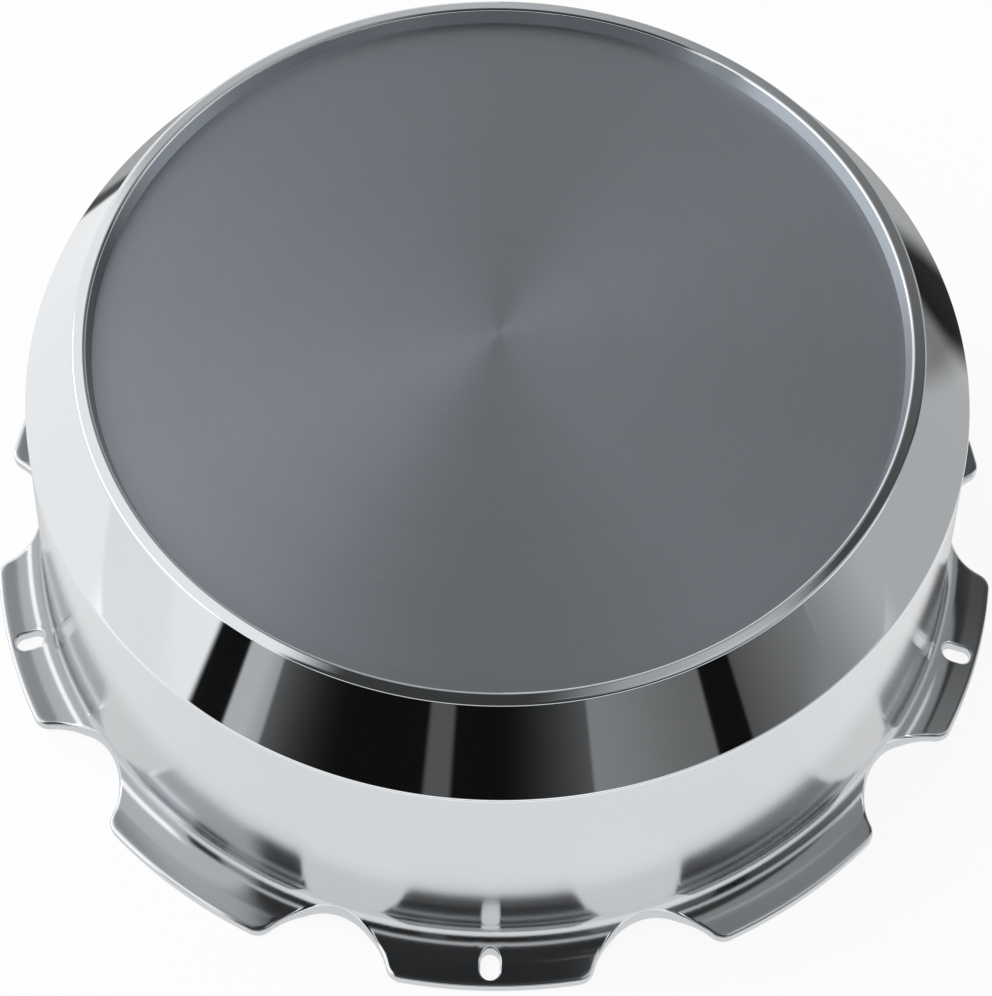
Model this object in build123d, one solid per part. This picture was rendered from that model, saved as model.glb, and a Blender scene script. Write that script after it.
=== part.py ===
from build123d import *
import math
import os

os.makedirs("parts", exist_ok=True)

# All sizes in millimetres. +Z points out of the turned face, Z = 0 is the
# flange underside that sits on the wheel, and a slotted lobe faces -Y.

# wheel side: what the cap has to clear and how it is held
LUG_COUNT = 10
LUG_CIRCLE_D = 285.75
NOTCH_R = 18.475
SCREW_COUNT = 5
SCREW_INSET = 5.8
SLOT_WIDTH = 4.9
SLOT_LENGTH = 7.8
SLOT_EDGE_BREAK = 0.5

# shell
SHEET = 3.0
WALL_DRAFT = 3.6
RIDGE_HEIGHT = 75.4
CHAMFER_RUN = 14.3
CHAMFER_RISE = 21.0
RIM_WIDTH = 4.4
RIM_FALL = 0.3
RIM_STEP_RUN = 1.2
FACE_DROP = 3.7

# flange: the notches stop just short of the wall, the lobes reach past it
NOTCH_LAND = 0.4
LOBE_REACH = 12.8
LOBE_CORNER_R = 4.5
FOOT_BLEND_R = 8.0
INNER_BEVEL = 6.0
FLANGE_EDGE_BREAK = 0.9

# small rounds on the outside of the drum
RIDGE_R = 1.2
CREST_R = 1.5

# sizes that follow from the ones above
lug_r = LUG_CIRCLE_D / 2
foot_r = lug_r - NOTCH_R - NOTCH_LAND
flange_r = foot_r + LOBE_REACH
screw_r = flange_r - SCREW_INSET
wall_rise = RIDGE_HEIGHT - SHEET
ridge_r = foot_r - wall_rise * math.tan(math.radians(WALL_DRAFT))
crest_r = ridge_r - CHAMFER_RUN
crest_z = RIDGE_HEIGHT + CHAMFER_RISE
face_r = crest_r - RIM_WIDTH
face_z = crest_z - FACE_DROP
rim_top_r = face_r + RIM_STEP_RUN
rim_top_z = crest_z + RIM_FALL
lug_pitch = 360 / LUG_COUNT
screw_pitch = 360 / SCREW_COUNT


def offset_corner(before, corner, after, gap):
    """Corner of the inner skin: both neighbouring runs moved in by the gap."""
    ax, ay = corner[0] - before[0], corner[1] - before[1]
    bx, by = after[0] - corner[0], after[1] - corner[1]
    al = math.hypot(ax, ay)
    bl = math.hypot(bx, by)
    nax, nay = ay / al, -ax / al
    nbx, nby = by / bl, -bx / bl
    scale = gap / (1 + nax * nbx + nay * nby)
    return (corner[0] + (nax + nbx) * scale, corner[1] + (nay + nby) * scale)


def nearest_corner(face, point):
    """The profile corner closest to a point given as radius and height."""
    target = Vector(point[0], 0, point[1])
    return min(face.vertices(), key=lambda v: (Vector(v.X, v.Y, v.Z) - target).length)


def round_corner(face, point, radius):
    """Round the profile corner that lies at the given point."""
    return fillet(nearest_corner(face, point), radius)


def shell_profile():
    """Half section of the cap: face, rim, chamfer, wall, blend and flange."""
    top = (0, face_z)
    face_edge = (face_r, face_z)
    rim_inner = (rim_top_r, rim_top_z)
    crest = (crest_r, crest_z)
    ridge = (ridge_r, RIDGE_HEIGHT)
    foot = (foot_r, SHEET)
    lip_top = (flange_r, SHEET)
    lip_low = (flange_r, 0)
    in_foot = offset_corner(ridge, foot, lip_top, SHEET)
    in_ridge = offset_corner(crest, ridge, foot, SHEET)
    in_top = (0, face_z - SHEET)
    in_rise = in_top[1] - in_ridge[1]
    in_face = (in_ridge[0] - in_rise * CHAMFER_RUN / CHAMFER_RISE, in_top[1])
    loop = [top, face_edge, rim_inner, crest, ridge, foot, lip_top]
    loop += [lip_low, in_foot, in_ridge, in_face, in_top]
    points = [(x, 0, z) for x, z in loop]
    face = make_face(Polyline(*points, close=True))
    face = round_corner(face, foot, FOOT_BLEND_R)
    face = chamfer(nearest_corner(face, in_foot), INNER_BEVEL)
    face = round_corner(face, ridge, RIDGE_R)
    face = round_corner(face, crest, CREST_R)
    return face


def lobe_outline():
    """Plan outline of the flange: a disc with the lug notches and soft corners."""
    outline = Circle(flange_r)
    for i in range(LUG_COUNT):
        angle = -90 + (i + 0.5) * lug_pitch
        outline -= Rot(0, 0, angle) * Pos(lug_r, 0) * Circle(NOTCH_R)
    corners = [v for v in outline.vertices() if math.hypot(v.X, v.Y) > flange_r - 0.5]
    return fillet(corners, LOBE_CORNER_R)


def upper_edges(shell, chosen):
    """Upper edges of the chosen upright walls on the flange."""
    walls = []
    skin = []
    for face in shell.faces():
        low_enough = face.bounding_box().max.Z < FOOT_BLEND_R + SHEET
        upright = abs(face.normal_at().Z) < 0.001
        if low_enough and upright and chosen(face.center()):
            walls.append(face)
        else:
            skin.append(face)
    rims = [edge for wall in walls for edge in wall.edges()]
    edges = []
    for face in skin:
        for edge in face.edges():
            if edge in rims and face.normal_at(edge @ 0.5).Z > 0:
                edges.append(edge)
    return edges


def on_lobe_outline(point):
    """True for walls out on the flange, before any slot is cut."""
    return math.hypot(point.X, point.Y) > foot_r


def in_screw_slot(point):
    """True for walls that belong to one of the screw slots."""
    for i in range(SCREW_COUNT):
        angle = math.radians(-90 + i * screw_pitch)
        dx = point.X - screw_r * math.cos(angle)
        dy = point.Y - screw_r * math.sin(angle)
        if math.hypot(dx, dy) < SLOT_LENGTH / 2:
            return True
    return False


def screw_slot():
    """One radial screw slot, long side pointing at the axis."""
    return extrude(SlotOverall(SLOT_LENGTH, SLOT_WIDTH), FOOT_BLEND_R * 2)


def screw_slots():
    """The ring of screw slots, one in every second lobe."""
    slot = screw_slot()
    ring = []
    for i in range(SCREW_COUNT):
        angle = -90 + i * screw_pitch
        ring.append(Rot(0, 0, angle) * Pos(screw_r, 0, -SHEET) * slot)
    return ring


def cap_shell():
    """The whole cap as one shell with lobed flange and screw slots."""
    shell = revolve(shell_profile(), Axis.Z, 360)
    keep = extrude(lobe_outline(), rim_top_z + SHEET)
    shell = shell & (Pos(0, 0, -SHEET / 2) * keep)
    shell = chamfer(upper_edges(shell, on_lobe_outline), FLANGE_EDGE_BREAK)
    for slot in screw_slots():
        shell -= slot
    return chamfer(upper_edges(shell, in_screw_slot), SLOT_EDGE_BREAK)


cap = cap_shell()
cap.label = "cap_shell"
export_step(cap, "parts/cap_shell.step")
print(cap.is_valid, len(cap.solids()), cap.volume, cap.bounding_box())
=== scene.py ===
"""Looks of a deep drum-shaped wheel centre cap: polished shell, turned face, lobed flange."""

import math

import bmesh
import bpy
from mathutils import Matrix, Vector


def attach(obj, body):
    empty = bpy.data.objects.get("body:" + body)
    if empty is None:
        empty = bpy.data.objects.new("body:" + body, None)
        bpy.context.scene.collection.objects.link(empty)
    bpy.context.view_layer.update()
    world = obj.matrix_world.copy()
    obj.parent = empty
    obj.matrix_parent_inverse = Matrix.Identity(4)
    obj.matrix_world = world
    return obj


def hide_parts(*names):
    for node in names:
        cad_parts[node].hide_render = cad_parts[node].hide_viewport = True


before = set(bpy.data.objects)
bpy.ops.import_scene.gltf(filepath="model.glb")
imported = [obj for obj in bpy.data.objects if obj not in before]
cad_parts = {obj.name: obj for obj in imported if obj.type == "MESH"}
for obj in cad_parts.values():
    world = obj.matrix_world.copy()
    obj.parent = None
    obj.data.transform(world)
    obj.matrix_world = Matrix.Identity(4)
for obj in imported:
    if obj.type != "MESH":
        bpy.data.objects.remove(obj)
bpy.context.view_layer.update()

bl_info = {
    "name": "Wheel centre cap looks",
    "version": (1, 0, 0),
    "blender": (4, 5, 0),
    "location": "View3D > Sidebar > Centre Cap",
    "description": "Polished shell, turned face and studio for a wheel centre cap",
    "category": "Object",
}

MM = 0.001
TURN = 2 * math.pi
FRONT = -math.pi / 2

# the flange repeats every 36 degrees; half a repeat has this many columns
LOBES = 10
SLOTS = 5
LOBE_COLUMNS = 15
CORNER_COLUMNS = 8
NOTCH_COLUMNS = 13
HALF_REPEAT = LOBE_COLUMNS + CORNER_COLUMNS + NOTCH_COLUMNS
COLUMNS = 2 * HALF_REPEAT * LOBES

# rows of points across the turned face and down the wall, as shares of the way
FACE_SHARES = (0.0, 0.05, 0.2, 0.4, 0.6, 0.8, 0.93, 1.0)
FACE_ROWS = len(FACE_SHARES) - 1
CHAMFER_SHARES = (0.35, 0.65)
WALL_SHARES = (0.2, 0.4, 0.6, 0.8, 0.95, 0.99)
WALL_ROWS = len(WALL_SHARES) + 1

# the same inside the shell, up the wall and back to the middle
INNER_WALL_SHARES = (0.3, 0.7)
INNER_FACE_SHARES = (0.75, 0.5, 0.25, 0.06, 0.0)

# steps in the small rounds of the section, and the flat strip kept beside them
RIM_STEPS = 9
ROUND_STEPS = 8
HOLD = 0.25 * MM

# rows of faces on the flange: wall to edge, edge, and back underneath
TOP_ROWS = 20
EDGE_ROWS = 5
BREAK_ROWS = 2
UNDER_ROWS = 12
BEVEL_ROWS = 4

# rows and columns taken out of the flange for a screw slot
WINDOW_HALF = 3
WINDOW_TOP_ROW = 7
WINDOW_UNDER_ROW = 1

# rings down a slot's upper edge: (how far outside the slot, how far down), as shares of its break
SLOT_RINGS = ((1.4, 0.0), (1.0, 0.0), (0.62, 0.08), (0.3, 0.3), (0.08, 0.62), (0.0, 1.0))

# closer points are merged, and sharper folds than this are shaded as edges
MERGE_DISTANCE = 0.001 * MM
SHARP_FOLD = math.radians(24)

# order of the materials on the piece
PLATE, TURNED, INNER, SPUN = range(4)

# how finely the marks in the metal repeat
HAZE_SCALE = 22.0
WAVE_SCALE = 14.0
GROOVE_SCALE = 1500.0
BAND_SCALE = 90.0
GRAIN_SCALE = 700.0
POLISH_SCALE = 2500.0

# a quarter turn: the blur runs across the turning and polishing marks
BLUR_TURN = 0.25

# the flange's colour is darkened by a painted shade from just outside the foot of the wall
FLANGE_SHADE_START = 124.3 * MM
FLANGE_SHADE_END = 125.4 * MM

# studio
NEAR_FLOOR_HEIGHT = -0.2 * MM
FAR_FLOOR_HEIGHT = -0.4 * MM
FLOOR_COLOUR = (0.9, 0.9, 0.9, 1.0)
TENT_COLOUR = (0.985, 0.995, 1.0, 1.0)
LAMP_PLACE = (-1.1, 0.3, 2.0)
LAMP_SIZE = 1.6
LAMP_POWER = 26.0
WORLD_LEVEL = 0.6


# ---------------------------------------------------------------- settings


class CAP_PG_shell(bpy.types.PropertyGroup):
    """Sizes of the polished shell, outside and inside"""

    flange_radius: bpy.props.FloatProperty(
        name="Flange radius", description="Axis to the end of a lobe", default=136.8 * MM, unit="LENGTH"
    )
    sheet: bpy.props.FloatProperty(
        name="Sheet", description="Thickness of the shell", default=3.0 * MM, unit="LENGTH"
    )
    lobe_reach: bpy.props.FloatProperty(
        name="Lobe reach", description="How far a lobe stands out past the wall foot",
        default=12.8 * MM, unit="LENGTH",
    )
    draft: bpy.props.FloatProperty(
        name="Wall draft", description="Lean of the drum wall", default=math.radians(3.6), subtype="ANGLE"
    )
    ridge_height: bpy.props.FloatProperty(
        name="Ridge height", description="Flange underside to the shoulder ridge",
        default=75.4 * MM, unit="LENGTH",
    )
    chamfer_run: bpy.props.FloatProperty(
        name="Chamfer run", description="Width of the chamfer seen from the front",
        default=14.3 * MM, unit="LENGTH",
    )
    chamfer_rise: bpy.props.FloatProperty(
        name="Chamfer rise", description="Height of the chamfer", default=21.0 * MM, unit="LENGTH"
    )
    rim_width: bpy.props.FloatProperty(
        name="Rim width", description="Chamfer edge to the edge of the turned face",
        default=4.4 * MM, unit="LENGTH",
    )
    rim_fall: bpy.props.FloatProperty(
        name="Rim fall", description="How far the rim top falls towards the chamfer",
        default=0.3 * MM, unit="LENGTH",
    )
    rim_step: bpy.props.FloatProperty(
        name="Rim step run", description="Run of the step between face and rim",
        default=1.2 * MM, unit="LENGTH",
    )
    face_drop: bpy.props.FloatProperty(
        name="Face drop", description="Depth of the face below the chamfer edge",
        default=3.7 * MM, unit="LENGTH",
    )
    foot_blend: bpy.props.FloatProperty(
        name="Foot blend", description="Radius where wall meets flange", default=8.0 * MM, unit="LENGTH"
    )
    inner_bevel: bpy.props.FloatProperty(
        name="Inner bevel", description="Bevel inside the wall foot", default=6.0 * MM, unit="LENGTH"
    )
    rim_round: bpy.props.FloatProperty(
        name="Rim round", description="Radius of the rim's inner edge", default=0.9 * MM, unit="LENGTH"
    )
    crest_round: bpy.props.FloatProperty(
        name="Crest round", description="Radius between rim and chamfer", default=1.3 * MM, unit="LENGTH"
    )
    ridge_round: bpy.props.FloatProperty(
        name="Ridge round", description="Radius between chamfer and wall", default=1.9 * MM, unit="LENGTH"
    )


class CAP_PG_flange(bpy.types.PropertyGroup):
    """Sizes of the notches and slots in the flange"""

    stud_circle: bpy.props.FloatProperty(
        name="Stud circle radius", description="Axis to the middle of a wheel stud",
        default=142.875 * MM, unit="LENGTH",
    )
    notch_radius: bpy.props.FloatProperty(
        name="Notch radius", description="Radius of a notch round a stud",
        default=18.475 * MM, unit="LENGTH",
    )
    lobe_corner: bpy.props.FloatProperty(
        name="Lobe corner", description="Radius of a lobe's corners", default=4.5 * MM, unit="LENGTH"
    )
    edge_round: bpy.props.FloatProperty(
        name="Edge round", description="Radius along the flange's upper edge",
        default=0.9 * MM, unit="LENGTH",
    )
    edge_break: bpy.props.FloatProperty(
        name="Edge break", description="Small break along the flange's lower edge",
        default=0.25 * MM, unit="LENGTH",
    )
    slot_inset: bpy.props.FloatProperty(
        name="Slot inset", description="Lobe end to the middle of a screw slot",
        default=5.8 * MM, unit="LENGTH",
    )
    slot_width: bpy.props.FloatProperty(
        name="Slot width", description="Width of a screw slot", default=4.9 * MM, unit="LENGTH"
    )
    slot_length: bpy.props.FloatProperty(
        name="Slot length", description="Length of a screw slot", default=7.8 * MM, unit="LENGTH"
    )
    slot_break: bpy.props.FloatProperty(
        name="Slot edge", description="Rounded edge of a screw slot", default=0.5 * MM, unit="LENGTH"
    )


class CAP_PG_finish(bpy.types.PropertyGroup):
    """Colours and finish of the metal"""

    bright: bpy.props.FloatVectorProperty(
        name="Bright metal", description="Colour of the mirror finish",
        default=(0.77, 0.795, 0.82), size=3, subtype="COLOR",
    )
    turned: bpy.props.FloatVectorProperty(
        name="Turned metal", description="Colour of the turned face",
        default=(0.40, 0.424, 0.466), size=3, subtype="COLOR",
    )
    inner: bpy.props.FloatVectorProperty(
        name="Inner metal", description="Colour of the unpolished inside",
        default=(0.50, 0.51, 0.52), size=3, subtype="COLOR",
    )
    turned_roughness: bpy.props.FloatProperty(
        name="Turned roughness", description="Blur of the turned face", default=0.38, min=0.0, max=1.0
    )
    turned_anisotropy: bpy.props.FloatProperty(
        name="Turned anisotropy", description="Stretch of the blur across the turning marks",
        default=0.6, min=0.0, max=1.0,
    )
    spun_roughness: bpy.props.FloatProperty(
        name="Spun roughness", description="Blur of the wall and flange", default=0.10, min=0.0, max=1.0
    )
    spun_anisotropy: bpy.props.FloatProperty(
        name="Spun anisotropy", description="Stretch of the blur up and down the wall",
        default=0.9, min=0.0, max=1.0,
    )


class CAP_PG_studio(bpy.types.PropertyGroup):
    """Camera, floor and studio round the cap"""

    camera_place: bpy.props.FloatVectorProperty(
        name="Camera place", description="Where the camera stands, before its turn about the axis",
        default=(0.0001, -0.37966, 0.63923), size=3, unit="LENGTH",
    )
    elevation: bpy.props.FloatProperty(
        name="Camera elevation", description="How far the camera looks down", default=1.02539, subtype="ANGLE"
    )
    azimuth: bpy.props.FloatProperty(
        name="Camera azimuth", description="Turn of the camera about the axis",
        default=-0.00901, subtype="ANGLE",
    )
    roll: bpy.props.FloatProperty(
        name="Camera roll", description="Roll of the camera", default=0.02181, subtype="ANGLE"
    )
    lens: bpy.props.FloatProperty(
        name="Lens", description="Focal length for a 36 mm long side", default=96.706
    )
    table_radius: bpy.props.FloatProperty(
        name="Table radius", description="Part of the floor that the metal mirrors",
        default=0.6, unit="LENGTH",
    )
    tent_radius: bpy.props.FloatProperty(
        name="Tent radius", description="Distance of the studio walls", default=8.0, unit="LENGTH"
    )


# ---------------------------------------------------------------- shader maths


class Field:
    """A shader socket that adds Math nodes when it is used in an expression."""

    def __init__(self, tree, socket):
        self.tree = tree
        self.socket = socket

    def _math(self, operation, *values):
        node = self.tree.nodes.new("ShaderNodeMath")
        node.operation = operation
        for slot, value in zip(node.inputs, values):
            if isinstance(value, Field):
                self.tree.links.new(value.socket, slot)
            else:
                slot.default_value = value
        return Field(self.tree, node.outputs[0])

    def __add__(self, other):
        return self._math("ADD", self, other)

    def __radd__(self, other):
        return self._math("ADD", other, self)

    def __sub__(self, other):
        return self._math("SUBTRACT", self, other)

    def __rsub__(self, other):
        return self._math("SUBTRACT", other, self)

    def __mul__(self, other):
        return self._math("MULTIPLY", self, other)

    def __rmul__(self, other):
        return self._math("MULTIPLY", other, self)

    def __pow__(self, other):
        return self._math("POWER", self, other)

    def sin(self):
        return self._math("SINE", self)

    def arcsin(self):
        return self._math("ARCSINE", self)

    def sqrt(self):
        return self._math("SQRT", self)

    def angle_to(self, other):
        return self._math("ARCTAN2", self, other)

    def most(self, other):
        return self._math("MAXIMUM", self, other)

    def ramp(self, start, end, low=0.0, high=1.0, curve="SMOOTHSTEP"):
        """low at start, high at end, held past both."""
        node = self.tree.nodes.new("ShaderNodeMapRange")
        node.interpolation_type = curve
        self.tree.links.new(self.socket, node.inputs["Value"])
        node.inputs["From Min"].default_value = start
        node.inputs["From Max"].default_value = end
        node.inputs["To Min"].default_value = low
        node.inputs["To Max"].default_value = high
        return Field(self.tree, node.outputs["Result"])

    def between(self, start, end, soft):
        """1 between start and end, with edges as wide as soft."""
        half = soft / 2
        return self.ramp(start - half, start + half) * self.ramp(end - half, end + half, 1.0, 0.0)


class Material:
    """One node tree and the few calls that build it."""

    def __init__(self, name, data=None):
        self.data = data or bpy.data.materials.new(name)
        self.data.use_nodes = True
        self.tree = self.data.node_tree
        self.tree.nodes.clear()

    def node(self, kind, settings=None, **inputs):
        """A node of that kind, with its settings first and then its inputs."""
        node = self.tree.nodes.new(kind)
        for key, value in (settings or {}).items():
            setattr(node, key, value)
        for key, value in inputs.items():
            slot = node.inputs[key.replace("_", " ")]
            if isinstance(value, Field):
                self.tree.links.new(value.socket, slot)
            elif isinstance(value, bpy.types.NodeSocket):
                self.tree.links.new(value, slot)
            else:
                slot.default_value = value
        return node

    def field(self, socket):
        return Field(self.tree, socket)

    def coordinates(self):
        """Object coordinates as three fields and the vector itself."""
        vector = self.node("ShaderNodeTexCoord").outputs["Object"]
        split = self.node("ShaderNodeSeparateXYZ", Vector=vector)
        x, y, z = (self.field(socket) for socket in split.outputs)
        return x, y, z, vector

    def ray(self, kind):
        """1 for rays of that kind."""
        return self.field(self.node("ShaderNodeLightPath").outputs[kind])

    def noise(self, vector, scale, detail=2.0):
        node = self.node("ShaderNodeTexNoise", Vector=vector, Scale=scale, Detail=detail)
        return self.field(node.outputs[0])

    def vector(self, x, y, z):
        return self.node("ShaderNodeCombineXYZ", X=x, Y=y, Z=z).outputs[0]

    def tint(self, colour, factor):
        """The colour made lighter or darker by a field."""
        node = self.node("ShaderNodeVectorMath", {"operation": "SCALE"})
        node.inputs[0].default_value = colour
        self.tree.links.new(factor.socket, node.inputs["Scale"])
        return node.outputs[0]

    def mix(self, factor, first, second):
        """Mix Shader of two shader sockets."""
        node = self.node("ShaderNodeMixShader")
        self.tree.links.new(factor.socket, node.inputs[0])
        self.tree.links.new(first, node.inputs[1])
        self.tree.links.new(second, node.inputs[2])
        return node.outputs[0]

    def surface(self, socket, output="ShaderNodeOutputMaterial"):
        self.node(output, Surface=socket)
        return self.data


def bright_metal(finish):
    """Mirror-polished plating with faint waviness and hairlines."""
    mat = Material("mirror_plate")
    x, y, z, where = mat.coordinates()
    haze = mat.noise(where, HAZE_SCALE, 3.0)
    hair = mat.noise(mat.vector(x * 9.0, y * 9.0, z * 900.0), 5.0)
    wave = mat.node(
        "ShaderNodeBump", Strength=0.04, Distance=0.2 * MM, Height=mat.noise(where, WAVE_SCALE, 1.0)
    )
    shader = mat.node(
        "ShaderNodeBsdfPrincipled",
        Base_Color=mat.tint(tuple(finish.bright), 0.985 + haze * 0.03),
        Metallic=1.0,
        Roughness=0.025 + haze * 0.012 + hair * 0.008,
        Normal=wave.outputs[0],
    )
    return mat.surface(shader.outputs[0])


def turned_metal(finish):
    """Satin face with concentric turning marks; its soft radial sheen comes from the anisotropic blur and
    partly from a sheen painted into the colour.
    """
    mat = Material("turned_face")
    x, y, z, where = mat.coordinates()
    reach = (x * x + y * y).sqrt()
    angle = y.angle_to(x)
    grooves = mat.noise(mat.vector(reach * GROOVE_SCALE, 0.5, 0.5), 1.0, 4.0)
    bands = mat.noise(mat.vector(reach * BAND_SCALE, 3.5, 0.5), 1.0, 3.0)
    east, north = angle.sin(), (angle + math.pi / 2).sin()
    # painted sheen: lighter and darker sectors round the middle, painted into the colour
    painted_sheen = mat.noise(mat.vector(east * 2.0, north * 2.0, 0.0), 1.3, 3.0)
    grain = mat.noise(mat.vector(reach * GRAIN_SCALE, x * 60.0, y * 60.0), 1.0, 3.0)
    # the colour carries real turning marks and grain, and the painted sheen
    marks_and_painted_light = 0.88 + grooves * 0.08 + bands * 0.04 + painted_sheen * 0.07 + grain * 0.05
    bump = mat.node("ShaderNodeBump", Strength=0.12, Distance=0.04 * MM, Height=grooves + grain * 0.5)
    shader = mat.node(
        "ShaderNodeBsdfPrincipled",
        Base_Color=mat.tint(tuple(finish.turned), marks_and_painted_light),
        Metallic=1.0,
        Roughness=(finish.turned_roughness - 0.05) + grooves * 0.06 + bands * 0.04,
        Anisotropic=finish.turned_anisotropy,
        Anisotropic_Rotation=BLUR_TURN,
        Normal=bump.outputs[0],
    )
    return mat.surface(shader.outputs[0])


def spun_metal(finish):
    """Wall and flange, polished round and round so that reflections smear up and down, with a painted shade
    darkening the flange.
    """
    mat = Material("spun_plate")
    x, y, z, where = mat.coordinates()
    reach = (x * x + y * y).sqrt()
    # painted shade: the flange and most of the foot blend are drawn darker than the wall
    flange = reach.ramp(FLANGE_SHADE_START, FLANGE_SHADE_END)
    haze = mat.noise(where, HAZE_SCALE, 3.0)
    lines = mat.noise(mat.vector(reach * POLISH_SCALE, z * 1200.0, 0.5), 1.0, 3.0)
    smear = mat.noise(mat.vector(reach * 500.0, x * 25.0, y * 25.0), 1.0, 3.0)
    bump = mat.node("ShaderNodeBump", Strength=0.08, Distance=0.03 * MM, Height=lines + smear * 0.5)
    # the colour carries real haze and polishing marks, and the flange's painted shade
    marks_and_painted_light = 0.86 - flange * 0.38 + haze * 0.04 + lines * 0.04 + smear * 0.04
    shader = mat.node(
        "ShaderNodeBsdfPrincipled",
        Base_Color=mat.tint(tuple(finish.bright), marks_and_painted_light),
        Metallic=1.0,
        Roughness=(finish.spun_roughness - 0.03) + flange * 0.02 + lines * 0.04 + smear * 0.03,
        Anisotropic=finish.spun_anisotropy,
        Anisotropic_Rotation=BLUR_TURN,
        Normal=bump.outputs[0],
    )
    return mat.surface(shader.outputs[0])


def inner_metal(finish):
    """Unpolished inside of the shell, dull with faint drawing marks."""
    mat = Material("dull_inside")
    x, y, z, where = mat.coordinates()
    drawn = mat.noise(mat.vector(x * 40.0, y * 40.0, z * 6.0), 6.0, 3.0)
    cloud = mat.noise(where, 30.0, 4.0)
    bump = mat.node("ShaderNodeBump", Strength=0.1, Distance=0.1 * MM, Height=drawn)
    shader = mat.node(
        "ShaderNodeBsdfPrincipled",
        Base_Color=mat.tint(tuple(finish.inner), 0.9 + drawn * 0.1 + cloud * 0.1),
        Metallic=1.0,
        Roughness=0.3 + cloud * 0.12,
        Normal=bump.outputs[0],
    )
    return mat.surface(shader.outputs[0])


# ---------------------------------------------------------------- shell section


def rounded(before, corner, after, radius, steps):
    """Points of a round at a corner of the section."""
    a = (before - corner).normalized()
    b = (after - corner).normalized()
    half = a.angle(b) / 2
    middle = corner + (a + b).normalized() * (radius / math.sin(half))
    arm = corner + a * (radius / math.tan(half)) - middle
    sweep = math.pi - 2 * half
    if arm.cross(corner + b * (radius / math.tan(half)) - middle) < 0:
        sweep = -sweep
    return [middle + turned_by(arm, sweep * i / steps) for i in range(steps + 1)]


def held(before, arc, after, gap):
    """The round with one more point on the straight run at each end, so its shading stays near it."""
    start = arc[0] + (before - arc[0]).normalized() * gap
    end = arc[-1] + (after - arc[-1]).normalized() * gap
    return [start] + arc + [end]


def inset_corner(before, corner, after, gap):
    """A corner of the inner skin, both neighbouring runs moved in."""
    a = (corner - before).normalized()
    b = (after - corner).normalized()
    side_a, side_b = Vector((-a.y, a.x)), Vector((-b.y, b.x))
    if side_a.dot(-corner) < 0:
        side_a, side_b = -side_a, -side_b
    return corner + (side_a + side_b) * (gap / (1 + side_a.dot(side_b)))


def direction(angle):
    """Unit vector in the plan at an angle."""
    return Vector((math.cos(angle), math.sin(angle)))


def turned_by(vector, angle):
    """A plane vector turned by an angle, anticlockwise."""
    c, s = math.cos(angle), math.sin(angle)
    return Vector((vector.x * c - vector.y * s, vector.x * s + vector.y * c))


class Section:
    """Half section of the shell, as radius and height."""

    def __init__(self, shell):
        self.sheet = shell.sheet
        self.foot = Vector((shell.flange_radius - shell.lobe_reach, shell.sheet))
        ridge_r = self.foot.x - (shell.ridge_height - shell.sheet) * math.tan(shell.draft)
        self.ridge = Vector((ridge_r, shell.ridge_height))
        self.crest = self.ridge + Vector((-shell.chamfer_run, shell.chamfer_rise))
        self.face = self.crest - Vector((shell.rim_width, shell.face_drop))
        self.rim = Vector((self.face.x + shell.rim_step, self.crest.y + shell.rim_fall))
        self.lip = Vector((shell.flange_radius, shell.sheet))
        self.in_foot = inset_corner(self.ridge, self.foot, self.lip, shell.sheet)
        self.in_ridge = inset_corner(self.crest, self.ridge, self.foot, shell.sheet)
        in_z = self.face.y - shell.sheet
        rise = in_z - self.in_ridge.y
        self.in_face = Vector((self.in_ridge.x - rise * shell.chamfer_run / shell.chamfer_rise, in_z))
        blend = rounded(self.ridge, self.foot, self.lip, shell.foot_blend, 2)
        self.blend_radius = shell.foot_blend
        self.blend_start = blend[0]
        self.blend_middle = Vector((blend[-1].x, shell.sheet + shell.foot_blend))
        self.bevel_low = self.in_foot + Vector((shell.inner_bevel, 0))
        up = (self.in_ridge - self.in_foot).normalized()
        self.bevel_high = self.in_foot + up * shell.inner_bevel

    def top_height(self, radius):
        """Height of the upper skin at a radius on the flange."""
        reach = self.blend_middle.x - radius
        if reach <= 0:
            return self.sheet
        return self.blend_middle.y - math.sqrt(max(self.blend_radius**2 - reach**2, 0.0))

    def under_height(self, radius):
        """Height of the lower skin at a radius on the flange."""
        run = self.bevel_low.x - radius
        if run <= 0:
            return 0.0
        return run * self.bevel_high.y / (self.bevel_low.x - self.bevel_high.x)

    def along_top(self, end_radius, share):
        """Radius at a share of the way along the upper skin, wall to edge."""
        start = math.asin((self.blend_middle.x - self.blend_start.x) / self.blend_radius)
        stop = math.asin(max(self.blend_middle.x - end_radius, 0.0) / self.blend_radius)
        arc = (start - stop) * self.blend_radius
        flat = max(end_radius - self.blend_middle.x, 0.0)
        way = share * (arc + flat)
        if way > arc:
            return self.blend_middle.x + way - arc
        return self.blend_middle.x - self.blend_radius * math.sin(start - way / self.blend_radius)


def drum_rows(section, shell):
    """Section points from the middle of the face down to the foot blend."""
    rows = [Vector((section.face.x * share, section.face.y)) for share in FACE_SHARES]
    rim = rounded(section.face, section.rim, section.crest, shell.rim_round, RIM_STEPS)
    crest = rounded(section.rim, section.crest, section.ridge, shell.crest_round, ROUND_STEPS)
    ridge = rounded(section.crest, section.ridge, section.foot, shell.ridge_round, ROUND_STEPS)
    rows += held(section.face, rim, section.crest, HOLD)
    rows += held(section.rim, crest, section.ridge, HOLD)
    rows += [section.crest.lerp(section.ridge, share) for share in CHAMFER_SHARES]
    rows += held(section.crest, ridge, section.foot, HOLD)
    rows += [ridge[-1].lerp(section.blend_start, share) for share in WALL_SHARES]
    return rows


def inner_rows(section):
    """Section points inside the shell, from the bevel up to the middle of the face."""
    rows = [section.bevel_high.lerp(section.in_ridge, share) for share in INNER_WALL_SHARES]
    rows += [section.in_ridge, section.in_face]
    rows += [Vector((section.in_face.x * share, section.in_face.y)) for share in INNER_FACE_SHARES]
    return rows


# ---------------------------------------------------------------- flange outline


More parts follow.
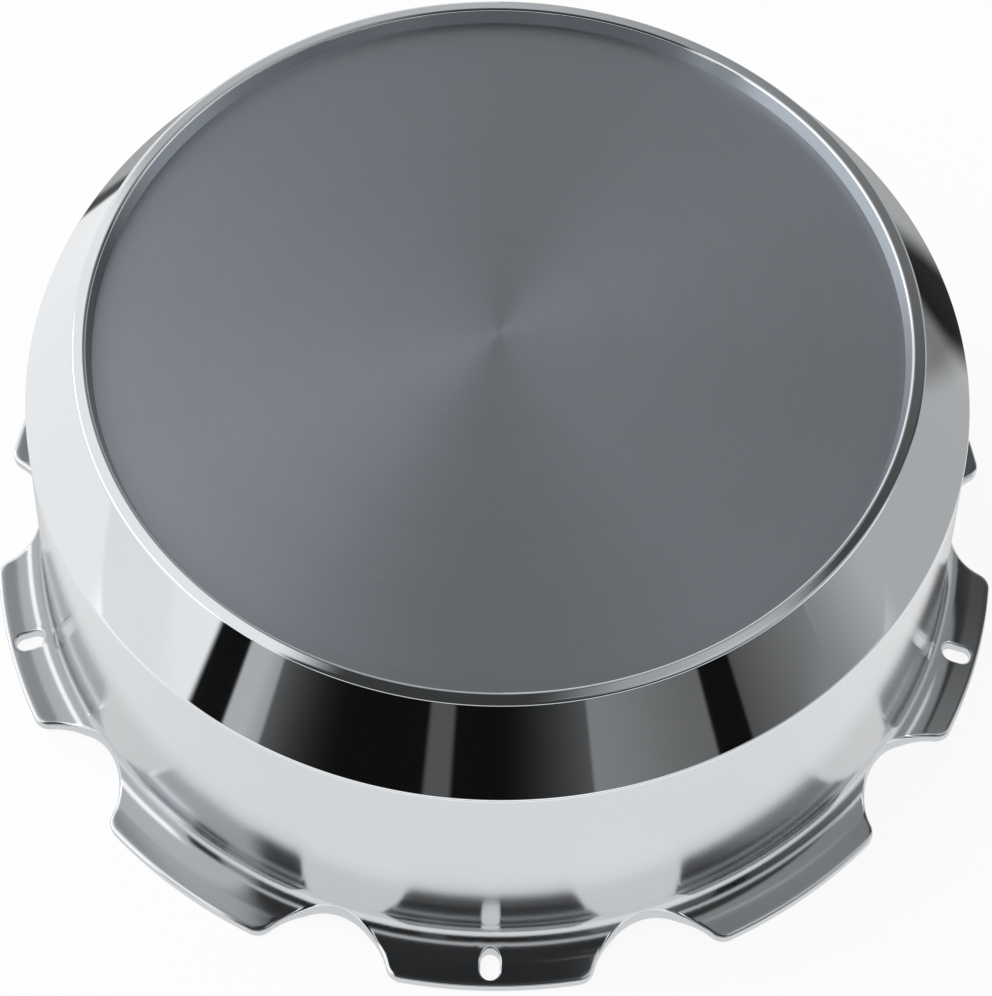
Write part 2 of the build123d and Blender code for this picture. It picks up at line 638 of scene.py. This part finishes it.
def lobe_outline(shell, flange):
    """Half a repeat of the outline, lobe middle to notch middle: (point, way out) in the plan."""
    lug = direction(math.pi / LOBES) * flange.stud_circle
    near = shell.flange_radius - flange.lobe_corner
    far = flange.notch_radius + flange.lobe_corner
    part = (near**2 + flange.stud_circle**2 - far**2) / (2 * near * flange.stud_circle)
    corner_turn = math.pi / LOBES - math.acos(part)
    corner = direction(corner_turn) * near
    to_lug = lug - corner
    corner_end = math.atan2(to_lug.y, to_lug.x)
    notch_start = corner_end + math.pi
    notch_end = math.pi + math.pi / LOBES
    points = []
    for i in range(LOBE_COLUMNS):
        out = direction(corner_turn * i / LOBE_COLUMNS)
        points.append((out * shell.flange_radius, out))
    for i in range(CORNER_COLUMNS):
        out = direction(corner_turn + (corner_end - corner_turn) * i / CORNER_COLUMNS)
        points.append((corner + out * flange.lobe_corner, out))
    for i in range(NOTCH_COLUMNS + 1):
        back = direction(notch_start + (notch_end - notch_start) * i / NOTCH_COLUMNS)
        points.append((lug + back * flange.notch_radius, -back))
    return points


def outline_point(half, column):
    """Point and way out of the outline at a column counted from the front lobe's middle."""
    turns, step = divmod(column, 2 * HALF_REPEAT)
    base = FRONT + turns * TURN / LOBES
    if step <= HALF_REPEAT:
        point, out = half[step]
    else:
        point, out = half[2 * HALF_REPEAT - step]
        point, out = Vector((point.x, -point.y)), Vector((out.x, -out.y))
        base += TURN / LOBES
    return turned_by(point, base), turned_by(out, base)


def nearest_turn(angle, near):
    """The angle plus whole turns that comes closest to another."""
    return angle - round((angle - near) / TURN) * TURN


# ---------------------------------------------------------------- shell mesh


def spun_shell(bm, section, shell):
    """Spins the section; each vertex keeps the number of its row.

    The flange rows only need places of their own here, because shape_flange moves them.
    """
    row_of = bm.verts.layers.int.new("row")
    rows = drum_rows(section, shell)
    first = len(rows)
    low = Vector((section.lip.x, 0.0))
    rows += [section.blend_start.lerp(section.lip, i / TOP_ROWS) for i in range(TOP_ROWS + 1)]
    rows += [section.lip.lerp(low, 0.5 * i / EDGE_ROWS) for i in range(1, EDGE_ROWS + 1)]
    rows += [section.lip.lerp(low, 0.6 + 0.1 * i) for i in range(BREAK_ROWS + 1)]
    rows += [low.lerp(section.bevel_low, i / UNDER_ROWS) for i in range(1, UNDER_ROWS + 1)]
    rows += [section.bevel_low.lerp(section.bevel_high, i / BEVEL_ROWS) for i in range(1, BEVEL_ROWS + 1)]
    rows += inner_rows(section)
    line = []
    for number, place in enumerate(rows):
        vert = bm.verts.new((0.0, -place.x, place.y))
        vert[row_of] = number
        line.append(vert)
    edges = [bm.edges.new(pair) for pair in zip(line, line[1:])]
    axis = {"cent": (0, 0, 0), "axis": (0, 0, 1)}
    share = TURN / LOBES
    bmesh.ops.spin(bm, geom=line + edges, angle=share, steps=COLUMNS // LOBES, **axis)
    sector = bm.verts[:] + bm.edges[:] + bm.faces[:]
    bmesh.ops.spin(bm, geom=sector, angle=TURN - share, steps=LOBES - 1, use_duplicate=True, **axis)
    bmesh.ops.remove_doubles(bm, verts=bm.verts[:], dist=MERGE_DISTANCE)
    # edges and faces come out of this in another order each run, so they are put in one that stays
    bm.verts.index_update()
    for items in (bm.edges, bm.faces):
        ordered = sorted(items, key=lambda item: sorted(vert.index for vert in item.verts))
        place_of = {item: place for place, item in enumerate(ordered)}
        items.sort(key=place_of.get)
    return row_of, first


def edge_curve(section, point, out, flange):
    """Edge round at an outline point: (setback, height) from the upper skin down the side."""
    drop = flange.edge_round
    probe = 0.2 * MM
    edge_z = section.top_height(point.length)
    slope = (section.top_height((point - out * probe).length) - edge_z) / probe
    back = drop / math.sqrt(1 + slope * slope)
    start = Vector((back, section.top_height((point - out * back).length)))
    corner, end = Vector((0.0, edge_z)), Vector((0.0, edge_z - drop))
    curve = []
    for i in range(EDGE_ROWS + 1):
        t = i / EDGE_ROWS
        curve.append(start * (1 - t) ** 2 + corner * (2 * t * (1 - t)) + end * t * t)
    return curve


def fan_place(wall_turn, plan_end, start_radius, radius, height):
    """A place between the evenly spaced wall column and its end on the lobed outline."""
    end_turn = nearest_turn(math.atan2(plan_end.y, plan_end.x), wall_turn)
    share = (radius - start_radius) / (plan_end.length - start_radius)
    plan = direction(wall_turn + (end_turn - wall_turn) * share) * radius
    return Vector((plan.x, plan.y, height))


def flange_column(section, flange, column, half):
    """Places of one column's vertices, from the foot blend over the edge to the inner bevel."""
    point, out = outline_point(half, column)
    wall_turn = FRONT + column * TURN / COLUMNS
    curve = edge_curve(section, point, out, flange)
    places = []
    top_end = point - out * curve[0].x
    for i in range(TOP_ROWS):
        radius = section.along_top(top_end.length, i / TOP_ROWS)
        height = section.top_height(radius)
        places.append(fan_place(wall_turn, top_end, section.blend_start.x, radius, height))
    for setback, height in curve:
        places.append((point - out * setback).to_3d() + Vector((0, 0, height)))
    gap = flange.edge_break
    for setback, lift in ((0.0, gap), (0.3 * gap, 0.3 * gap), (gap, 0.0)):
        plan = point - out * setback
        places.append(Vector((plan.x, plan.y, section.under_height(plan.length) + lift)))
    end = point - out * gap
    turn_at = min(section.bevel_low.x, end.length - 0.3 * MM)
    inner = section.bevel_high.x
    radii = [end.length + (turn_at - end.length) * i / UNDER_ROWS for i in range(1, UNDER_ROWS + 1)]
    radii += [turn_at + (inner - turn_at) * i / BEVEL_ROWS for i in range(1, BEVEL_ROWS + 1)]
    for radius in radii:
        places.append(fan_place(wall_turn, end, inner, radius, section.under_height(radius)))
    return places


def shape_flange(bm, section, flange, half, row_of, first):
    """Moves the spun flange rows to the lobed outline and returns the vertices by row and column."""
    last = first + TOP_ROWS + EDGE_ROWS + BREAK_ROWS + 1 + UNDER_ROWS + BEVEL_ROWS
    grid = {}
    for vert in bm.verts:
        if first <= vert[row_of] <= last:
            turn = math.atan2(vert.co.y, vert.co.x) - FRONT
            grid[vert[row_of] - first, round(turn / TURN * COLUMNS) % COLUMNS] = vert
    for column in range(COLUMNS):
        for number, place in enumerate(flange_column(section, flange, column, half)):
            grid[number, column].co = place
    return grid


def window_faces(grid, column, rows):
    """Faces of the grid in a window centred on a column, in the same order each run."""
    columns = [(column + i) % COLUMNS for i in range(-WINDOW_HALF, WINDOW_HALF + 1)]
    inside = dict.fromkeys(grid[row, c] for row in rows for c in columns)
    faces = dict.fromkeys(face for vert in inside for face in vert.link_faces)
    return [face for face in faces if all(vert in inside for vert in face.verts)]


def open_window(bm, faces):
    """Takes the faces out and returns the edges of the hole."""
    chosen = dict.fromkeys(faces)
    edges = dict.fromkeys(edge for face in faces for edge in face.edges)
    rim = [edge for edge in edges if any(face not in chosen for face in edge.link_faces)]
    bmesh.ops.delete(bm, geom=faces, context="FACES")
    return rim


def stadium_point(way, radius, half):
    """Point that far round a slot's outline, from its outer tip."""
    quarter, straight = math.pi / 2 * radius, 2 * half
    if way < quarter:
        return Vector((half, 0)) + direction(way / radius) * radius
    if way < quarter + straight:
        return Vector((half - (way - quarter), radius))
    if way < 3 * quarter + straight:
        turn = math.pi / 2 + (way - quarter - straight) / radius
        return Vector((-half, 0)) + direction(turn) * radius
    if way < 3 * quarter + 2 * straight:
        return Vector((-half + (way - 3 * quarter - straight), -radius))
    turn = 1.5 * math.pi + (way - 3 * quarter - 2 * straight) / radius
    return Vector((half, 0)) + direction(turn) * radius


def slot_ring(bm, shell, flange, angle, grow, count, height, row):
    """A slot-shaped ring, made larger by grow and lifted to height(radius); returns its edges."""
    row_of = bm.verts.layers.int["row"]
    radius = flange.slot_width / 2 + grow
    half = (flange.slot_length - flange.slot_width) / 2
    ring = bmesh.ops.create_circle(bm, cap_ends=False, segments=count, radius=radius)["verts"]
    total = TURN * radius + 4 * half
    for number, vert in enumerate(ring):
        local = stadium_point(number / count * total, radius, half)
        along = shell.flange_radius - flange.slot_inset + local.x
        plan = turned_by(Vector((along, local.y)), angle)
        vert.co = (plan.x, plan.y, height(plan.length))
        vert[row_of] = row
    return list(dict.fromkeys(edge for vert in ring for edge in vert.link_edges))


def cut_slot(bm, section, shell, flange, grid, number, first):
    """One screw slot through the flange, with a rounded upper edge; first is the flange's first row."""
    column = number * COLUMNS // SLOTS
    angle = FRONT + number * TURN / SLOTS
    top = window_faces(grid, column, range(WINDOW_TOP_ROW, TOP_ROWS + 1))
    start = TOP_ROWS + EDGE_ROWS + BREAK_ROWS + 1
    under = window_faces(grid, column, range(start, start + UNDER_ROWS + WINDOW_UNDER_ROW + 1))
    upper_rim, lower_rim = open_window(bm, top), open_window(bm, under)
    gap, count = flange.slot_break, len(upper_rim)
    loops = [upper_rim]
    for grow, sink in SLOT_RINGS:

        def lift(radius):
            return section.top_height(radius) - gap * sink

        row = first + TOP_ROWS + (2 if sink else 0)
        loops.append(slot_ring(bm, shell, flange, angle, gap * grow, count, lift, row))
    loops.append(slot_ring(bm, shell, flange, angle, 0.0, count, section.under_height, first + start))
    loops.append(lower_rim)
    for above, below in zip(loops, loops[1:]):
        bmesh.ops.bridge_loops(bm, edges=above + below)


def face_materials(bm, first):
    """Turned face, spun wall and flange top, dull inside, and mirror plate everywhere else."""
    row_of = bm.verts.layers.int["row"]
    inside = first + TOP_ROWS + EDGE_ROWS + BREAK_ROWS + 1 + UNDER_ROWS
    for face in bm.faces:
        face.smooth = True
        rows = [vert[row_of] for vert in face.verts]
        if max(rows) <= FACE_ROWS:
            face.material_index = TURNED
        elif min(rows) >= inside:
            face.material_index = INNER
        elif min(rows) >= first - WALL_ROWS and max(rows) <= first + TOP_ROWS:
            face.material_index = SPUN
        else:
            face.material_index = PLATE
    for edge in bm.edges:
        if len(edge.link_faces) == 2 and edge.calc_face_angle(0.0) > SHARP_FOLD:
            edge.smooth = False


def as_object(bm, name):
    """Turns the bmesh into an object of that name."""
    mesh = bpy.data.meshes.new(name)
    bm.to_mesh(mesh)
    bm.free()
    thing = bpy.data.objects.new(name, mesh)
    bpy.context.scene.collection.objects.link(thing)
    return thing


class CAP_OT_shell(bpy.types.Operator):
    """Model the one-piece cap: face, rim, chamfer, wall and lobed flange with slots"""

    bl_idname = "cap.shell"
    bl_label = "Cap body"

    def execute(self, context):
        scene = context.scene
        shell, flange = scene.cap_shell_sizes, scene.cap_flange_sizes
        section = Section(shell)
        bm = bmesh.new()
        row_of, first = spun_shell(bm, section, shell)
        grid = shape_flange(bm, section, flange, lobe_outline(shell, flange), row_of, first)
        for number in range(SLOTS):
            cut_slot(bm, section, shell, flange, grid, number, first)
        bmesh.ops.recalc_face_normals(bm, faces=bm.faces[:])
        face_materials(bm, first)
        bm.verts.layers.int.remove(row_of)
        piece = as_object(bm, "cap_body")
        for finish in (bright_metal, turned_metal, inner_metal, spun_metal):
            piece.data.materials.append(finish(scene.cap_finish))
        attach(piece, "root")
        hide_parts("cap_shell")
        return {"FINISHED"}


# ---------------------------------------------------------------- studio


def horizon_light(turn):
    """The cards that stand round the cap near the horizon, by degrees from the front, right is plus."""
    left_wall = turn.ramp(-57.2, -58.6, 0.0, 0.97)
    left_strip = turn.between(-50.6, -43.2, 0.8) * turn.ramp(-47.0, -43.4, 0.50, 0.38)
    left_fade = turn.ramp(-43.2, -26.0, 1.0, 0.0, "LINEAR") ** 2.6 * 0.11
    front_strip = turn.between(-12.4, -7.6, 1.2) * 0.095
    front_fade = turn.ramp(1.0, 18.0, 0.0, 1.0, "LINEAR") ** 1.8 * 0.085
    near_card = turn.between(18.4, 41.6, 0.8) * turn.ramp(19.0, 41.0, 0.235, 0.15)
    far_card = turn.between(48.4, 66.2, 0.8) * turn.ramp(48.0, 66.0, 0.08, 0.215, "LINEAR")
    right_wall = turn.ramp(65.8, 66.8) * turn.ramp(66.0, 84.0, 0.27, 0.49)
    left = left_wall + left_strip + turn.ramp(-43.4, -43.0) * left_fade
    front = front_strip + turn.ramp(18.0, 18.8, 1.0, 0.0) * front_fade
    return left + front + near_card + far_card + right_wall + 0.006


def overhead_light(x, y, turn, rise):
    """The cards above the cap: a grey back, a front band, two cards to the right, a softbox to the left."""
    back = y.ramp(0.3, 0.78) * x.ramp(-0.05, 0.32, 1.0, 0.32) * 0.5
    front_band = rise.between(26.0, 37.0, 3.0) * turn.between(-58.0, 100.0, 6.0) * 0.95
    inner_card = x.ramp(0.03, 0.12) * x.ramp(0.27, 0.22) * y.between(0.08, 0.45, 0.04) * 0.36
    outer_card = x.ramp(0.12, 0.26) * y.between(-0.25, 0.32, 0.06) * 0.42
    edge = x + (y - 0.309).most(0) * 0.39 + (0.309 - y).most(0) * 0.55 + 0.145
    softbox = edge.ramp(0.05, -0.02)
    grey = back + front_band + inner_card + outer_card + 0.05
    left_band = rise.between(18.0, 35.0, 2.0) * turn.between(-128.0, -62.0, 4.0) * 1.3
    return grey * (1 - softbox) + softbox * 0.98 + left_band


def tent_light(x, y, z):
    """What the metal mirrors of the studio, by direction."""
    turn = x.angle_to(0 - y) * math.degrees(1)
    rise = z.arcsin() * math.degrees(1)
    above = rise.ramp(17.0, 22.0)
    horizon = horizon_light(turn) * (1 - above) * rise.ramp(-4.5, -2.5)
    table_edge = turn.ramp(46.0, 56.0, 0.9, 0.25) + turn.ramp(64.0, 84.0, 0.0, 0.24)
    return horizon + overhead_light(x, y, turn, rise) * above + rise.ramp(-2.5, -4.5) * table_edge


def table_light(x, y):
    """What the metal mirrors of the floor, with light and shade painted into it: pale round the cap, a
    painted shade to the right and a painted shadow of the cap in its lee.
    """
    reach = (x * x + y * y).sqrt()
    # painted shade: the floor is drawn greyer to the right, as if the light fell from the left
    painted_shade_right = x.ramp(0.12, 0.26) * reach.ramp(0.19, 0.25)
    level = 0.9 + reach.ramp(0.18, 0.24) * 0.1 - painted_shade_right * 0.52
    # a painted shadow of the cap at the back left, with a dark line along its left side
    painted_cap_shadow = y.ramp(0.09, 0.11) * x.ramp(-0.156, -0.150) * reach.ramp(0.5, 0.25)
    level = level * (1 - painted_cap_shadow * 0.56)
    level = level * (1 - painted_cap_shadow * x.between(-0.156, -0.142, 0.008) * 0.8)
    # a painted shadow, a dark patch at the back right
    patch_x, patch_y = x - 0.200, (y - 0.120) * 0.8
    painted_shadow_patch = (patch_x * patch_x + patch_y * patch_y).sqrt().ramp(0.046, 0.018)
    level = level * (1 - painted_shadow_patch * 0.93)
    # a painted pool of light at the front with a painted dark line in it, which draws the reflected line
    # along the shoulder
    front = y.ramp(-0.10, -0.18)
    level = level * (1 + front * reach.ramp(0.200, 0.215) * 0.35)
    level = level * (1 - front * reach.between(0.245, 0.300, 0.02) * 0.95)
    # the cap's own shade just outside the flange
    return level * reach.ramp(0.1365, 0.142, 0.8, 1.0)


class CAP_OT_studio(bpy.types.Operator):
    """Set up the pale floor, the light tent, the lamp, the world and the camera"""

    bl_idname = "cap.studio"
    bl_label = "Studio"

    def execute(self, context):
        studio = context.scene.cap_studio
        self.floor("floor_near", studio.table_radius, NEAR_FLOOR_HEIGHT)
        self.floor("floor_far", studio.tent_radius * 0.9, FAR_FLOOR_HEIGHT)
        self.tent(studio)
        self.lamp()
        self.world(context.scene)
        self.camera(context.scene, studio)
        context.scene.view_settings.view_transform = "Standard"
        return {"FINISHED"}

    def floor(self, name, radius, height):
        """A pale disc; metal mirrors the near one by its drawn brightness and never sees the far one."""
        bm = bmesh.new()
        bmesh.ops.create_circle(bm, cap_ends=True, segments=128, radius=radius)
        bmesh.ops.translate(bm, verts=bm.verts[:], vec=(0, 0, height))
        plate = as_object(bm, name)
        mat = Material(name)
        x, y = mat.coordinates()[:2]
        matt = mat.node("ShaderNodeBsdfDiffuse", Color=FLOOR_COLOUR).outputs[0]
        white = mat.node("ShaderNodeEmission", Strength=1.0).outputs[0]
        mirrored = mat.node("ShaderNodeEmission", Strength=table_light(x, y)).outputs[0]
        seen = mat.mix(mat.ray("Is Camera Ray") * 0.9, matt, white)
        plate.data.materials.append(mat.surface(mat.mix(mat.ray("Is Glossy Ray"), seen, mirrored)))
        mat.data.cycles.emission_sampling = "NONE"
        plate.visible_glossy = name == "floor_near"

    def tent(self, studio):
        """A far dome that only reflections see."""
        bm = bmesh.new()
        bmesh.ops.create_uvsphere(bm, u_segments=96, v_segments=48, radius=studio.tent_radius)
        tent = as_object(bm, "light_tent")
        mat = Material("light_tent")
        where = mat.node("ShaderNodeTexCoord").outputs["Object"]
        way = mat.node("ShaderNodeVectorMath", {"operation": "NORMALIZE"})
        mat.tree.links.new(where, way.inputs[0])
        split = mat.node("ShaderNodeSeparateXYZ", Vector=way.outputs[0])
        x, y, z = (mat.field(socket) for socket in split.outputs)
        glow = mat.node("ShaderNodeEmission", Color=TENT_COLOUR, Strength=tent_light(x, y, z))
        tent.data.materials.append(mat.surface(glow.outputs[0]))
        mat.data.cycles.emission_sampling = "NONE"
        tent.visible_camera = tent.visible_diffuse = False
        tent.visible_shadow = tent.visible_transmission = False

    def lamp(self):
        data = bpy.data.lights.new("key_lamp", "AREA")
        data.size = LAMP_SIZE
        data.energy = LAMP_POWER
        lamp = bpy.data.objects.new("key_lamp", data)
        lamp.location = LAMP_PLACE
        lamp.rotation_euler = (-lamp.location).to_track_quat("-Z", "Y").to_euler()
        lamp.visible_glossy = False
        bpy.context.scene.collection.objects.link(lamp)

    def world(self, scene):
        world = bpy.data.worlds.new("studio")
        scene.world = world
        mat = Material("studio", world)
        seen = mat.ray("Is Camera Ray").most(mat.ray("Is Glossy Ray")).most(mat.ray("Is Transmission Ray"))
        level = WORLD_LEVEL + seen * (1 - WORLD_LEVEL)
        glow = mat.node("ShaderNodeBackground", Color=(1.0, 1.0, 1.0, 1.0), Strength=level)
        mat.surface(glow.outputs[0], "ShaderNodeOutputWorld")

    def camera(self, scene, studio):
        data = bpy.data.cameras.new("camera")
        data.sensor_width = 36.0
        data.lens = studio.lens
        data.clip_start, data.clip_end = 0.01, 50.0
        camera = bpy.data.objects.new("camera", data)
        turn = Matrix.Rotation(studio.azimuth, 4, "Z")
        tilt = Matrix.Rotation(math.pi / 2 - studio.elevation, 4, "X")
        place = Matrix.Translation(Vector(studio.camera_place))
        camera.matrix_world = turn @ place @ tilt @ Matrix.Rotation(studio.roll, 4, "Z")
        scene.collection.objects.link(camera)
        scene.camera = camera


class CAP_PT_panel(bpy.types.Panel):
    """Lists the steps that build the cap"""

    bl_idname = "CAP_PT_panel"
    bl_label = "Centre Cap"
    bl_space_type = "VIEW_3D"
    bl_region_type = "UI"
    bl_category = "Centre Cap"

    def draw(self, context):
        column = self.layout.column()
        scene = context.scene
        for group in (scene.cap_shell_sizes, scene.cap_flange_sizes, scene.cap_finish, scene.cap_studio):
            for key in group.__annotations__:
                column.prop(group, key)
        column.operator(CAP_OT_shell.bl_idname)
        column.operator(CAP_OT_studio.bl_idname)


CLASSES = (
    CAP_PG_shell,
    CAP_PG_flange,
    CAP_PG_finish,
    CAP_PG_studio,
    CAP_OT_shell,
    CAP_OT_studio,
    CAP_PT_panel,
)


def register():
    for cls in CLASSES:
        bpy.utils.register_class(cls)
    bpy.types.Scene.cap_shell_sizes = bpy.props.PointerProperty(type=CAP_PG_shell)
    bpy.types.Scene.cap_flange_sizes = bpy.props.PointerProperty(type=CAP_PG_flange)
    bpy.types.Scene.cap_finish = bpy.props.PointerProperty(type=CAP_PG_finish)
    bpy.types.Scene.cap_studio = bpy.props.PointerProperty(type=CAP_PG_studio)


def unregister():
    del bpy.types.Scene.cap_studio
    del bpy.types.Scene.cap_finish
    del bpy.types.Scene.cap_flange_sizes
    del bpy.types.Scene.cap_shell_sizes
    for cls in reversed(CLASSES):
        bpy.utils.unregister_class(cls)


def main():
    register()
    bpy.ops.cap.shell()
    bpy.ops.cap.studio()
    bpy.context.view_layer.update()


if __name__ == "__main__":
    main()
